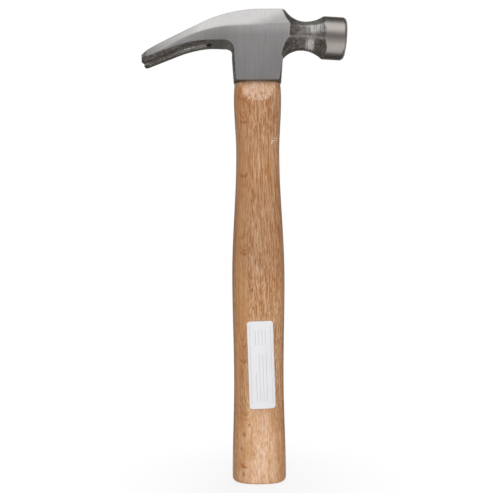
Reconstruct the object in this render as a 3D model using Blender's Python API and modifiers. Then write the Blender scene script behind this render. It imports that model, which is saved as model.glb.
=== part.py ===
"""Straight claw hammer: a forged steel head wedged on an oval beech handle with a bare paper label.

Metres, +Z up. The origin is the centre of the flat butt, +Z runs up the handle, +X points to the
striking face and the claw points to -X.
"""
import math

import bmesh
import bpy
from mathutils import Vector

MM = 0.001
OBJECT_NAME = "straight_claw_hammer"

# Fits
GAP = 0.3 * MM                  # clear space between neighbouring pieces
CUT_PAST = 6.0 * MM             # how far a cutter runs past the face that it opens
KEEP_STEP = 0.05 * MM           # keeps two cutters' faces from lying in one plane
MERGE_DISTANCE = 0.01 * MM      # joins the turned bar's points on its axis

# Handle heights, widths along X and thicknesses along Y, from the butt up to the shoulder
BUTT_EDGE_RADIUS = 3.0 * MM
BUTT_WIDTH = 38.8 * MM
BUTT_THICKNESS = 26.4 * MM
LOWER_WAIST_HEIGHT = 74.0 * MM
LOWER_WAIST_WIDTH = 36.0 * MM
LOWER_WAIST_THICKNESS = 25.0 * MM
SWELL_HEIGHT = 147.0 * MM
SWELL_WIDTH = 38.1 * MM
SWELL_THICKNESS = 26.6 * MM
UPPER_WAIST_DROP = 50.4 * MM    # shoulder down to the upper waist
UPPER_WAIST_WIDTH = 31.4 * MM
UPPER_WAIST_THICKNESS = 23.0 * MM
COLLAR_DROP = 11.4 * MM         # shoulder down to the widest part of the collar
COLLAR_WIDTH = 34.4 * MM
COLLAR_THICKNESS = 25.6 * MM
SHOULDER_HEIGHT = 288.4 * MM
SHOULDER_WIDTH = 32.6 * MM
HANDLE_SQUARENESS = 2.3         # 2 is an ellipse, more is squarer
TONGUE_LENGTH = 16.0 * MM       # flats shaved on the front and back, below the shoulder

# Head envelope, from the bottom of the socket up to the crown
HEAD_HEIGHT = 51.2 * MM
CHEEK_WIDTH = 26.8 * MM
CROWN_WIDTH = 21.6 * MM
CREASE_DROP = 12.3 * MM         # crown down to the crease between cheek and roof
SOCKET_LENGTH = 37.0 * MM       # outside, where the claw and the neck leave it
SOCKET_MOUTH_LENGTH = 34.6 * MM # outside, at the bottom
END_BULGE = 2.0 * MM            # how far the socket's two ends are crowned

# Eye through the head
EYE_MOUTH_LENGTH = 28.6 * MM
EYE_MOUTH_WIDTH = 17.2 * MM
EYE_WAIST_LENGTH = 27.2 * MM
EYE_WAIST_WIDTH = 15.4 * MM
EYE_CROWN_LENGTH = 29.0 * MM
EYE_CROWN_WIDTH = 16.4 * MM
EYE_SQUARENESS = 3.6

# Claw: each rail is flat over the eye, bends at a radius and then runs straight to the tips
CLAW_REACH = 83.6 * MM          # eye centre to the top of the tips
TIP_RAKE = 1.2 * MM             # the tips' end faces lean back by this
TIP_CORNER = 0.4 * MM           # the tips' outer corners stand back by this
TIP_ROUND = 4.0 * MM            # length of the tips' round lower corner
TIP_ROUND_RISE = 2.0 * MM       # height of that corner
TIP_WIDTH = 20.8 * MM
TIP_CROWN_WIDTH = 15.4 * MM
ROOF_BEND_START = 3.0 * MM      # ahead of the eye centre
ROOF_BEND_RADIUS = 102.0 * MM
ROOF_SLOPE = math.radians(25.6)
CREASE_BEND_START = -4.0 * MM
CREASE_BEND_RADIUS = 110.0 * MM
CREASE_SLOPE = math.radians(19.3)
UNDERSIDE_DROP = 22.3 * MM      # crown down to the claw's underside at its root
UNDERSIDE_BEND_START = -27.0 * MM
UNDERSIDE_BEND_RADIUS = 85.0 * MM
UNDERSIDE_SLOPE = math.radians(21.6)
ROOT_FILLET = 7.5 * MM          # between the claw's underside and the socket
TIP_EDGE_BEVEL = 3.2 * MM       # bevel on the outer lower edges at the tips, fading out at the root
TAPER_START = -26.0 * MM        # where the claw starts to narrow

# Nail slot
SLOT_CROTCH = -35.0 * MM        # centre of the round inner end
SLOT_CROTCH_WIDTH = 2.8 * MM
SLOT_TIP_WIDTH = 6.4 * MM
SLOT_GROOVE = 1.6 * MM          # bevel along the slot's lower edges

# Poll: octagonal neck between the cheeks and a round bell with the striking face
POLL_DROP = 16.2 * MM           # crown down to the poll's axis at the socket's end
POLL_TILT = math.radians(3.8)   # the axis points a little down
NECK_WIDTH = 19.5 * MM          # across the flats at the waist
NECK_UPPER_SLOPE = 10.4 * MM    # axis to the two upper sloping flats at the waist
NECK_LOWER_SLOPE = 8.6 * MM     # axis to the two lower sloping flats at the waist
NECK_WAIST = 33.5 * MM          # eye centre to the waist
CHEEK_FLARE_RADIUS = 18.5 * MM  # four square flats, towards the cheeks
UPPER_FLARE_RADIUS = 21.5 * MM  # upper sloping flats, towards the cheeks
LOWER_FLARE_RADIUS = 15.4 * MM  # lower sloping flats, towards the cheeks
BELL_FLARE_RADIUS = 22.0 * MM
BELL_DIAMETER = 30.4 * MM
FACE_REACH = 64.3 * MM          # eye centre to the striking face
FACE_CHAMFER = 1.8 * MM

# Wedges, driven in from the crown
WOOD_WEDGE_LENGTH = 26.4 * MM
WOOD_WEDGE_THICKNESS = 4.6 * MM
WOOD_WEDGE_TIP = 1.6 * MM
WOOD_WEDGE_DEPTH = 30.0 * MM
STEEL_WEDGE_WIDTH = 12.6 * MM
STEEL_WEDGE_THICKNESS = 2.8 * MM
STEEL_WEDGE_TIP = 0.8 * MM
STEEL_WEDGE_DEPTH = 16.0 * MM
STEEL_WEDGE_SPACING = 12.0 * MM
STEEL_WEDGE_TURN = math.radians(8.0)

# Label on the front of the handle
LABEL_WIDTH = 18.6 * MM
LABEL_HEIGHT = 62.4 * MM
LABEL_CORNER = 2.0 * MM
LABEL_CENTRE_X = 1.6 * MM
LABEL_CENTRE_HEIGHT = 85.6 * MM
LABEL_TILT = math.radians(1.7)
LABEL_PAPER = 0.15 * MM
LABEL_LIFT = 0.15 * MM          # glue line under the paper

# Fineness of the facets
SECTION_STEPS = 56
EYE_STEPS = 40
STATION_STEP = 7.0 * MM
CLAW_STEPS = 18
CROWN_STEPS = 24
ROUND_STEPS = 6
FLARE_STEPS = 10
TURN_STEPS = 72
LABEL_STEPS = 12
BODY_LAYERS = (0.0, 0.3, 0.6, 0.8, 1.0, 2.0)    # 0 is the middle, 1 the crown's edge and 2 the cheek
SMOOTH_ANGLE = math.radians(30.0)

# Places that follow from the sizes
EYE_BOTTOM = SHOULDER_HEIGHT + GAP
CROWN = EYE_BOTTOM + HEAD_HEIGHT
POLL_AXIS = HEAD_HEIGHT - POLL_DROP


def start_collections():
    """Empties the scene and returns one collection for the parts and one for the cutters."""
    for item in list(bpy.data.objects):
        bpy.data.objects.remove(item, do_unlink=True)
    found = []
    for name in (OBJECT_NAME, "cutters"):
        collection = bpy.data.collections.new(name)
        bpy.context.scene.collection.children.link(collection)
        found.append(collection)
    return found


def material(name, colour, roughness, metallic):
    made = bpy.data.materials.new(name)
    made.use_nodes = True
    shader = made.node_tree.nodes["Principled BSDF"]
    shader.inputs["Base Color"].default_value = (*colour, 1.0)
    shader.inputs["Roughness"].default_value = roughness
    shader.inputs["Metallic"].default_value = metallic
    return made


def object_from(name, mesh_builder, collection, location=(0.0, 0.0, 0.0)):
    """Turns a bmesh into a named object with its faces pointing out."""
    bmesh.ops.recalc_face_normals(mesh_builder, faces=mesh_builder.faces[:])
    mesh = bpy.data.meshes.new(name)
    mesh_builder.to_mesh(mesh)
    mesh_builder.free()
    made = bpy.data.objects.new(name, mesh)
    made.location = location
    collection.objects.link(made)
    return made


def skin(rings, split=None):
    """Skins closed rings of points and caps both ends.

    A split of (i, j) parts each cap along the line between its points i and j, where the cap folds.
    """
    builder = bmesh.new()
    layers = [[builder.verts.new(point) for point in ring] for ring in rings]
    count = len(layers[0])
    for lower, upper in zip(layers, layers[1:]):
        for i in range(count):
            j = (i + 1) % count
            builder.faces.new((lower[i], lower[j], upper[j], upper[i]))
    for layer in (layers[0], layers[-1]):
        if split is None:
            builder.faces.new(layer)
        else:
            first, second = split
            builder.faces.new(layer[:first + 1] + layer[second:])
            builder.faces.new(layer[first:second + 1])
    return builder


def hide_as_cutter(cutter):
    cutter.hide_render = True
    cutter.display_type = "WIRE"
    return cutter


def combine(target, other, operation):
    step = target.modifiers.new(f"{operation.lower()} {other.name}", "BOOLEAN")
    step.operation = operation
    step.solver = "EXACT"
    step.object = other


def finish(piece, finish_material):
    piece.data.materials.append(finish_material)
    piece.data.shade_smooth()
    piece.data.set_sharp_from_angle(angle=SMOOTH_ANGLE)


def oval(length, width, height, squareness, count):
    """Ring of points on a squared oval, length along X and width along Y."""
    ring = []
    for i in range(count):
        angle = math.tau * i / count
        across = math.cos(angle)
        deep = math.sin(angle)
        x = math.copysign(abs(across) ** (2.0 / squareness), across) * length / 2
        y = math.copysign(abs(deep) ** (2.0 / squareness), deep) * width / 2
        ring.append(Vector((x, y, height)))
    return ring


def wedge_rings(length, thickness, tip, depth, past=0.0):
    """Rings of a wedge hanging down from its head at z = 0, long along X, run on past its head."""
    growth = past * (thickness - tip) / depth
    rings = []
    for height, thick in ((-depth, tip), (past, thickness + growth)):
        half_length = length / 2
        half_thick = thick / 2
        corners = ((-half_length, -half_thick), (half_length, -half_thick),
                   (half_length, half_thick), (-half_length, half_thick))
        rings.append([Vector((x, y, height)) for x, y in corners])
    return rings


def blend(low, high, share):
    return low + (high - low) * share


# Handle

def handle_stations():
    """Heights with the handle's width and thickness at each bulge and waist."""
    return [
        (BUTT_EDGE_RADIUS, BUTT_WIDTH, BUTT_THICKNESS),
        (LOWER_WAIST_HEIGHT, LOWER_WAIST_WIDTH, LOWER_WAIST_THICKNESS),
        (SWELL_HEIGHT, SWELL_WIDTH, SWELL_THICKNESS),
        (SHOULDER_HEIGHT - UPPER_WAIST_DROP, UPPER_WAIST_WIDTH, UPPER_WAIST_THICKNESS),
        (SHOULDER_HEIGHT - COLLAR_DROP, COLLAR_WIDTH, COLLAR_THICKNESS),
        (SHOULDER_HEIGHT, SHOULDER_WIDTH, COLLAR_THICKNESS),
    ]


def handle_size(height):
    """Width and thickness of the handle at a height, easing from one station to the next."""
    stations = handle_stations()
    for (low, width, thickness), (high, next_width, next_thickness) in zip(stations, stations[1:]):
        if height <= high:
            share = max(0.0, (height - low) / (high - low))
            eased = (1.0 - math.cos(math.pi * share)) / 2
            if high == SHOULDER_HEIGHT:
                eased = 1.0 - math.sqrt(1.0 - share ** 2)
            return blend(width, next_width, eased), blend(thickness, next_thickness, eased)
    return stations[-1][1:]


def handle_body():
    rings = []
    for i in range(ROUND_STEPS + 1):
        turn = math.pi / 2 * i / ROUND_STEPS
        inset = 2 * BUTT_EDGE_RADIUS * (1.0 - math.sin(turn))
        height = BUTT_EDGE_RADIUS * (1.0 - math.cos(turn))
        rings.append(oval(BUTT_WIDTH - inset, BUTT_THICKNESS - inset, height,
                          HANDLE_SQUARENESS, SECTION_STEPS))
    stations = handle_stations()
    for (low, _, _), (high, _, _) in zip(stations, stations[1:]):
        steps = max(ROUND_STEPS, round((high - low) / STATION_STEP))
        for i in range(1, steps + 1):
            height = blend(low, high, i / steps)
            width, thickness = handle_size(height)
            rings.append(oval(width, thickness, height, HANDLE_SQUARENESS, SECTION_STEPS))
    return skin(rings)


def eye_rings(clearance, bottom, top):
    """Rings of the eye in the head's own heights, drawn in by a clearance and run on to bottom and top."""
    sizes = [
        (bottom, EYE_MOUTH_LENGTH, EYE_MOUTH_WIDTH),
        (0.0, EYE_MOUTH_LENGTH, EYE_MOUTH_WIDTH),
        (HEAD_HEIGHT / 2, EYE_WAIST_LENGTH, EYE_WAIST_WIDTH),
        (HEAD_HEIGHT, EYE_CROWN_LENGTH, EYE_CROWN_WIDTH),
    ]
    if top > HEAD_HEIGHT:
        sizes.append((top, EYE_CROWN_LENGTH, EYE_CROWN_WIDTH))
    return [oval(length - 2 * clearance, width - 2 * clearance, height, EYE_SQUARENESS, EYE_STEPS)
            for height, length, width in sizes]


def tongue_cutters(cutters):
    """Two blocks whose inner faces shave the handle's front and back flat, into the mouth of the eye."""
    made = []
    top_half = EYE_MOUTH_WIDTH / 2 - GAP
    low_half = COLLAR_THICKNESS / 2
    for side in (-1, 1):
        rings = []
        for past in (-CUT_PAST, TONGUE_LENGTH + CUT_PAST):
            height = SHOULDER_HEIGHT - TONGUE_LENGTH + past
            inner = side * blend(low_half, top_half, past / TONGUE_LENGTH)
            outer = side * COLLAR_THICKNESS
            reach = COLLAR_WIDTH
            rings.append([Vector((-reach, inner, height)), Vector((reach, inner, height)),
                          Vector((reach, outer, height)), Vector((-reach, outer, height))])
        name = "tongue_cutter_front" if side < 0 else "tongue_cutter_back"
        made.append(hide_as_cutter(object_from(name, skin(rings), cutters)))
    return made


def steel_wedge_places():
    """Name, place along the eye and turn of each steel wedge."""
    half = STEEL_WEDGE_SPACING / 2
    return [("steel_wedge_front", half, math.pi / 2 + STEEL_WEDGE_TURN),
            ("steel_wedge_rear", -half, math.pi / 2 - STEEL_WEDGE_TURN)]


def wedge_slots(cutters):
    """Slots for the wooden wedge, along the tenon, and for the two steel wedges across it."""
    kerf_shape = wedge_rings(EYE_CROWN_LENGTH + CUT_PAST, WOOD_WEDGE_THICKNESS + 2 * GAP,
                             WOOD_WEDGE_TIP + 2 * GAP, WOOD_WEDGE_DEPTH + GAP, CUT_PAST)
    kerf = object_from("kerf_cutter", skin(kerf_shape), cutters, (0.0, 0.0, CROWN))
    slot_shape = wedge_rings(STEEL_WEDGE_WIDTH + 2 * GAP, STEEL_WEDGE_THICKNESS + 2 * GAP,
                             STEEL_WEDGE_TIP + 2 * GAP, STEEL_WEDGE_DEPTH + GAP, CUT_PAST)
    steel = []
    for name, place, turn in steel_wedge_places():
        slot = object_from(f"{name}_cutter", skin(slot_shape), cutters, (place, 0.0, CROWN))
        slot.rotation_euler = (0.0, 0.0, turn)
        steel.append(hide_as_cutter(slot))
    return hide_as_cutter(kerf), steel


def make_handle(parts, cutters, kerf, steel_slots):
    handle = object_from("handle", handle_body(), parts)
    for flat in tongue_cutters(cutters):
        combine(handle, flat, "DIFFERENCE")
    tenon = object_from("tenon", skin(eye_rings(GAP, -TONGUE_LENGTH / 2, HEAD_HEIGHT)), cutters,
                        (0.0, 0.0, EYE_BOTTOM))
    combine(handle, hide_as_cutter(tenon), "UNION")
    for slot in [kerf] + steel_slots:
        combine(handle, slot, "DIFFERENCE")
    finish(handle, material("beech", (0.52, 0.31, 0.17), 0.5, 0.0))
    return handle


def make_wedges(parts, steel_slots):
    wood_shape = wedge_rings(WOOD_WEDGE_LENGTH, WOOD_WEDGE_THICKNESS, WOOD_WEDGE_TIP, WOOD_WEDGE_DEPTH)
    wood = object_from("wood_wedge", skin(wood_shape), parts, (0.0, 0.0, CROWN))
    for slot in steel_slots:
        combine(wood, slot, "DIFFERENCE")
    finish(wood, material("wedge_hardwood", (0.36, 0.19, 0.09), 0.6, 0.0))
    steel = material("wedge_steel", (0.33, 0.32, 0.31), 0.45, 1.0)
    steel_shape = wedge_rings(STEEL_WEDGE_WIDTH, STEEL_WEDGE_THICKNESS, STEEL_WEDGE_TIP, STEEL_WEDGE_DEPTH)
    for name, place, turn in steel_wedge_places():
        wedge = object_from(name, skin(steel_shape), parts, (place, 0.0, CROWN))
        wedge.rotation_euler = (0.0, 0.0, turn)
        finish(wedge, steel)


# Head, in its own heights: 0 is the bottom of the socket

def bent_rail(x, start, top, radius, slope):
    """Height of a rail that is flat ahead of start, bends down at a radius and then runs straight."""
    run = start - x
    bend = radius * math.sin(slope)
    if run <= 0.0:
        return top
    if run <= bend:
        return top - radius + math.sqrt(radius ** 2 - run ** 2)
    return top - radius * (1.0 - math.cos(slope)) - (run - bend) * math.tan(slope)


def roof(x):
    return bent_rail(x, ROOF_BEND_START, HEAD_HEIGHT, ROOF_BEND_RADIUS, ROOF_SLOPE)


def crease(x):
    return bent_rail(x, CREASE_BEND_START, HEAD_HEIGHT - CREASE_DROP, CREASE_BEND_RADIUS, CREASE_SLOPE)


def underside(x):
    root = HEAD_HEIGHT - UNDERSIDE_DROP
    return bent_rail(x, UNDERSIDE_BEND_START, root, UNDERSIDE_BEND_RADIUS, UNDERSIDE_SLOPE)


def share_to_tip(x):
    """0 up to the start of the claw's taper and 1 at its tips."""
    return max(0.0, (TAPER_START - x) / (CLAW_REACH + TAPER_START))


def layer_depth(x, layer):
    """Distance of a layer from the head's middle plane."""
    crown_edge = blend(CROWN_WIDTH, TIP_CROWN_WIDTH, share_to_tip(x)) / 2
    if layer <= 1.0:
        return layer * crown_edge
    cheek = blend(CHEEK_WIDTH, TIP_WIDTH, share_to_tip(x)) / 2
    return blend(crown_edge, cheek, layer - 1.0)


def body_outline(layer, side):
    """Closed side outline of the claw and socket at one layer, and the places of its claw's root in it."""
    on_roof = max(0.0, layer - 1.0)

    def low_height(x):
        return underside(x) + TIP_EDGE_BEVEL * share_to_tip(x) * on_roof

    def top_height(x):
        return blend(roof(x), crease(x), on_roof)

    def place(x, z):
        return Vector((x, side * layer_depth(x, layer), z))

    end_sink = END_BULGE * (layer_depth(0.0, layer) / (CHEEK_WIDTH / 2)) ** 2
    tip_top = -CLAW_REACH + TIP_CORNER * on_roof
    tip_low = -CLAW_REACH + TIP_RAKE
    lower = []
    for i in range(ROUND_STEPS):
        turn = math.pi / 2 * i / ROUND_STEPS
        x = tip_low + TIP_ROUND * (1.0 - math.cos(turn))
        lift = TIP_ROUND_RISE * (1.0 - math.sin(turn)) * (1.0 - on_roof)
        lower.append(place(x, low_height(x) + lift))
    for i in range(CLAW_STEPS + 1):
        x = blend(tip_low + TIP_ROUND, TAPER_START, i / CLAW_STEPS)
        lower.append(place(x, low_height(x)))
    root_low = len(lower) - 1
    fillet_x = -SOCKET_LENGTH / 2 - ROOT_FILLET
    fillet_z = underside(TAPER_START) - ROOT_FILLET
    for i in range(1, ROUND_STEPS + 1):
        turn = math.pi / 2 * (1.0 - i / ROUND_STEPS)
        x = fillet_x + (ROOT_FILLET + end_sink) * math.cos(turn)
        lower.append(place(x, fillet_z + ROOT_FILLET * math.sin(turn)))
    neck_low = socket_top()
    lower.append(place(-SOCKET_MOUTH_LENGTH / 2 + end_sink, 0.0))
    lower.append(place(SOCKET_MOUTH_LENGTH / 2 - end_sink, 0.0))
    lower.append(place(SOCKET_LENGTH / 2 - end_sink, neck_low))
    lower.append(place(NECK_WAIST, neck_low))
    upper = []
    for i in range(CROWN_STEPS):
        x = blend(NECK_WAIST, TAPER_START, i / CROWN_STEPS)
        upper.append(place(x, top_height(x)))
    root_top = len(lower) + len(upper)
    for i in range(CLAW_STEPS + 1):
        x = blend(TAPER_START, tip_top, i / CLAW_STEPS)
        upper.append(place(x, top_height(x)))
    return lower + upper, (root_low, root_top)


def body_blank(parts):
    """Claw, cheeks and socket as one block that still runs on to the waist of the neck."""
    rings = []
    for layer in reversed(BODY_LAYERS[1:]):
        rings.append(body_outline(layer, -1)[0])
    for layer in BODY_LAYERS:
        outline, claw_root = body_outline(layer, 1)
        rings.append(outline)
    return object_from("head", skin(rings, claw_root), parts, (0.0, 0.0, EYE_BOTTOM))


def flare(reach, waist, cheek_radius):
    """Distance from the poll's axis to a flat of the neck, swept out both ways from its waist."""
    radius = cheek_radius if reach < NECK_WAIST else BELL_FLARE_RADIUS
    run = min(abs(reach - NECK_WAIST), radius)
    return waist + radius - math.sqrt(radius ** 2 - run ** 2)


def socket_top():
    """Height at which the underside of the neck meets the socket's end."""
    return POLL_AXIS - flare(SOCKET_LENGTH / 2, NECK_WIDTH / 2, CHEEK_FLARE_RADIUS)


def octagon(flat, upper_slope, lower_slope, reach):
    """Ring of eight points between four flats and the sloping flats above and below the axis."""
    upper = min(upper_slope * math.sqrt(2.0), 2 * flat - KEEP_STEP) - flat
    lower = min(lower_slope * math.sqrt(2.0), 2 * flat - KEEP_STEP) - flat
    points = [(upper, flat), (flat, upper), (flat, -lower), (lower, -flat)]
    points += [(-across, up) for across, up in reversed(points)]
    return [Vector((-up, across, reach)) for across, up in points]


def neck_ring(reach):
    return octagon(flare(reach, NECK_WIDTH / 2, CHEEK_FLARE_RADIUS),
                   flare(reach, NECK_UPPER_SLOPE, UPPER_FLARE_RADIUS),
                   flare(reach, NECK_LOWER_SLOPE, LOWER_FLARE_RADIUS), reach)


def on_poll_axis(piece):
    """Turns a piece made along +Z so that it lies on the poll's axis."""
    piece.location = (0.0, 0.0, EYE_BOTTOM + POLL_AXIS + SOCKET_LENGTH / 2 * math.tan(POLL_TILT))
    piece.rotation_euler = (0.0, math.pi / 2 + POLL_TILT, 0.0)


def poll_bar(cutters):
    """Round bar of the bell's diameter with the chamfered striking face, turned."""
    radius = BELL_DIAMETER / 2
    start = NECK_WAIST - CUT_PAST
    end = FACE_REACH / math.cos(POLL_TILT)
    profile = [(0.0, end), (radius - FACE_CHAMFER, end), (radius, end - FACE_CHAMFER),
               (radius, start), (0.0, start)]
    builder = bmesh.new()
    points = [builder.verts.new((across, 0.0, along)) for across, along in profile]
    for first, second in zip(points, points[1:]):
        builder.edges.new((first, second))
    mesh = bpy.data.meshes.new("poll_bar")
    builder.to_mesh(mesh)
    builder.free()
    bar = bpy.data.objects.new("poll_bar", mesh)
    cutters.objects.link(bar)
    screw = bar.modifiers.new("turn", "SCREW")
    screw.steps = TURN_STEPS
    screw.render_steps = TURN_STEPS
    screw.use_merge_vertices = True
    screw.merge_threshold = MERGE_DISTANCE
    on_poll_axis(bar)
    return hide_as_cutter(bar)


def neck_limit(cutters):
    """Everything that is left of the blank: an octagonal waist, wide open towards the claw and the bell."""
    wide = 2 * CLAW_REACH
    rings = [octagon(wide, wide, wide, -wide), octagon(wide, wide, wide, NECK_WAIST - CHEEK_FLARE_RADIUS)]
    for i in range(-FLARE_STEPS, FLARE_STEPS + 1):
        radius = CHEEK_FLARE_RADIUS if i < 0 else BELL_FLARE_RADIUS
        rings.append(neck_ring(NECK_WAIST + radius * math.sin(math.pi / 2 * i / FLARE_STEPS)))
    rings += [octagon(wide, wide, wide, NECK_WAIST + BELL_FLARE_RADIUS), octagon(wide, wide, wide, wide)]
    limit = object_from("neck_limit", skin(rings), cutters)
    on_poll_axis(limit)
    keep_heights = (-CUT_PAST, socket_top() - KEEP_STEP)
    keep = [box_ring(-wide, SOCKET_LENGTH / 2 + KEEP_STEP, height) for height in keep_heights]
    socket_keep = object_from("socket_keep", skin(keep), cutters, (0.0, 0.0, EYE_BOTTOM))
    combine(limit, hide_as_cutter(socket_keep), "UNION")
    return hide_as_cutter(limit)


def box_ring(low_x, high_x, height):
    """Rectangle across the whole head between two places along X."""
    return [Vector((low_x, -CHEEK_WIDTH, height)), Vector((high_x, -CHEEK_WIDTH, height)),
            Vector((high_x, CHEEK_WIDTH, height)), Vector((low_x, CHEEK_WIDTH, height))]


def slot_cutter(cutters):
    """V-shaped nail slot with a round inner end, cut square to the claw."""
    crotch = SLOT_CROTCH_WIDTH / 2
    mouth = -CLAW_REACH - CUT_PAST
    widen = (SLOT_TIP_WIDTH / 2 - crotch) / (CLAW_REACH + SLOT_CROTCH)
    mouth_half = crotch + widen * (SLOT_CROTCH - mouth)
    flat = [(mouth, -mouth_half)]
    for i in range(2 * ROUND_STEPS + 1):
        turn = -math.pi / 2 + math.pi * i / (2 * ROUND_STEPS)
        flat.append((SLOT_CROTCH + crotch * math.cos(turn), crotch * math.sin(turn)))
    flat.append((mouth, mouth_half))
    lean = math.tan((ROOF_SLOPE + UNDERSIDE_SLOPE) / 2)
    rings = []
    for past in (-HEAD_HEIGHT, HEAD_HEIGHT):
        middle = underside(SLOT_CROTCH)
        rings.append([Vector((x - lean * past, y, middle + past)) for x, y in flat])
    return hide_as_cutter(object_from("slot_cutter", skin(rings), cutters, (0.0, 0.0, EYE_BOTTOM)))


def groove_cutter(cutters):
    """Bevel along both lower edges of the nail slot."""
    mouth = -CLAW_REACH - CUT_PAST
    rings = []
    for i in range(CLAW_STEPS + 1):
        x = blend(SLOT_CROTCH + SLOT_GROOVE, mouth, i / CLAW_STEPS)
        share = (SLOT_CROTCH - x) / (CLAW_REACH + SLOT_CROTCH)
        half = blend(SLOT_CROTCH_WIDTH, SLOT_TIP_WIDTH, share) / 2
        low = underside(x) - SLOT_GROOVE
        high = underside(x) + SLOT_GROOVE
        rings.append([Vector((x, -half - 2 * SLOT_GROOVE, low)), Vector((x, half + 2 * SLOT_GROOVE, low)),
                      Vector((x, half, high)), Vector((x, -half, high))])
    return hide_as_cutter(object_from("groove_cutter", skin(rings), cutters, (0.0, 0.0, EYE_BOTTOM)))


def make_head(parts, cutters):
    head = body_blank(parts)
    combine(head, poll_bar(cutters), "UNION")
    combine(head, neck_limit(cutters), "INTERSECT")
    eye = object_from("eye_cutter", skin(eye_rings(0.0, -CUT_PAST, HEAD_HEIGHT + CUT_PAST)), cutters,
                      (0.0, 0.0, EYE_BOTTOM))
    combine(head, hide_as_cutter(eye), "DIFFERENCE")
    combine(head, slot_cutter(cutters), "DIFFERENCE")
    combine(head, groove_cutter(cutters), "DIFFERENCE")
    finish(head, material("forged_steel", (0.42, 0.41, 0.40), 0.32, 1.0))


# Label

def label_rows():
    """Heights along the label, closer together at its round corners, with the half width at each."""
    half_height = LABEL_HEIGHT / 2
    straight = half_height - LABEL_CORNER
    rows = []
    for i in range(ROUND_STEPS + 1):
        turn = math.pi / 2 * i / ROUND_STEPS
        rows.append((straight + LABEL_CORNER * math.cos(turn),
                     LABEL_WIDTH / 2 - LABEL_CORNER * (1.0 - math.sin(turn))))
    steps = round(2 * straight / STATION_STEP)
    for i in range(1, steps):
        rows.append((blend(straight, -straight, i / steps), LABEL_WIDTH / 2))
    return rows + [(-height, half) for height, half in reversed(rows[:ROUND_STEPS + 1])]


def front_of_handle(x, height):
    """Depth of the handle's front face at a place on it."""
    width, thickness = handle_size(height)
    across = min(1.0, abs(x) / (width / 2))
    return -thickness / 2 * (1.0 - across ** HANDLE_SQUARENESS) ** (1.0 / HANDLE_SQUARENESS)


def make_label(parts):
    builder = bmesh.new()
    grid = []
    for along, half in label_rows():
        row = []
        for i in range(LABEL_STEPS + 1):
            across = blend(-half, half, i / LABEL_STEPS)
            x = LABEL_CENTRE_X + across * math.cos(LABEL_TILT) - along * math.sin(LABEL_TILT)
            height = LABEL_CENTRE_HEIGHT + across * math.sin(LABEL_TILT) + along * math.cos(LABEL_TILT)
            row.append(builder.verts.new((x, front_of_handle(x, height) - LABEL_LIFT, height)))
        grid.append(row)
    for upper, lower in zip(grid, grid[1:]):
        for i in range(LABEL_STEPS):
            builder.faces.new((upper[i], lower[i], lower[i + 1], upper[i + 1]))
    mesh = bpy.data.meshes.new("label")
    builder.to_mesh(mesh)
    builder.free()
    label = bpy.data.objects.new("label", mesh)
    parts.objects.link(label)
    sheet = label.modifiers.new("paper", "SOLIDIFY")
    sheet.thickness = LABEL_PAPER
    sheet.offset = 1.0
    finish(label, material("label_paper", (0.88, 0.88, 0.87), 0.45, 0.0))


def main():
    parts, cutters = start_collections()
    kerf, steel_slots = wedge_slots(cutters)
    make_handle(parts, cutters, kerf, steel_slots)
    make_head(parts, cutters)
    make_wedges(parts, steel_slots)
    make_label(parts)


main()
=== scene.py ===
"""Straight claw hammer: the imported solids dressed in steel, beech and a bare paper label."""
import itertools
import math

import bpy
import numpy as np
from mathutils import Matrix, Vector


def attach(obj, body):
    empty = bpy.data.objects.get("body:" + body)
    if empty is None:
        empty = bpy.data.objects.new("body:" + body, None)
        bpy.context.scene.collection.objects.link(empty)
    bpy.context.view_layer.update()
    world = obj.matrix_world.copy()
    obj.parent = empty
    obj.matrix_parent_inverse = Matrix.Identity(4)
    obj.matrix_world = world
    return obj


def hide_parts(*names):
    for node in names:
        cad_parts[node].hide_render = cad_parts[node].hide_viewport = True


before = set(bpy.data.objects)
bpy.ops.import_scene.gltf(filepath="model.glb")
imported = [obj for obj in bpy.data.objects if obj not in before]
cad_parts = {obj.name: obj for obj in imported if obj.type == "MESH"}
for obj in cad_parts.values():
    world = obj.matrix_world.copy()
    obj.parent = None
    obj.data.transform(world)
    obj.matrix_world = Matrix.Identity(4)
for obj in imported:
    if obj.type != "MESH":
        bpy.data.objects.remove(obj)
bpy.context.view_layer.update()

MM = 0.001
GAP = 0.3

# Handle in millimetres, with height, width and thickness at each station
SHOULDER = 288.4
STATIONS = (
    (3.0, 38.8, 26.4),
    (74.0, 36.0, 25.0),
    (147.0, 38.1, 26.6),
    (238.0, 31.4, 23.0),
    (277.0, 34.4, 25.6),
    (SHOULDER, 32.6, 25.6),
)
SQUARENESS = 2.3
HANDLE_BOX_HALF = (21.0, 15.0)
BUTT_ROUND = 3.2
SHOULDER_ROUND = 0.6
TONGUE_LENGTH = 15.0
SCOOP_SHARE = 0.24
SCOOP_RUN = 1.3
TONGUE_SHARE = 0.95  # makes a distance of the slanting flat's field
TONGUE_SOFT = 0.3

# Head in millimetres, in heights above the bottom of the socket and half widths
EYE_BOTTOM = SHOULDER + GAP
HEAD_HEIGHT = 51.2
CROWN = EYE_BOTTOM + HEAD_HEIGHT
CHEEK = 13.4
CROWN_EDGE = 10.8
SOCKET_HALF = 18.5
SOCKET_MOUTH_HALF = 17.3
END_BULGE = 2.0
NECK_SIDE_BULGE = 0.05  # share of the bulge left where the neck starts
EYE_SIZES = ((0.0, 28.6, 17.2), (HEAD_HEIGHT / 2, 27.2, 15.4), (HEAD_HEIGHT, 29.0, 16.4))
EYE_SQUARENESS = 3.6

# Rails of the claw: where the bend starts, height before it, radius and angle after it
ROOF = (3.0, HEAD_HEIGHT, 102.0, math.radians(25.6))
CREASE = (-11.0, HEAD_HEIGHT - 12.3, 112.0, math.radians(26.5))
UNDERSIDE = (-27.0, HEAD_HEIGHT - 22.8, 85.0, math.radians(21.6))

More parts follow.
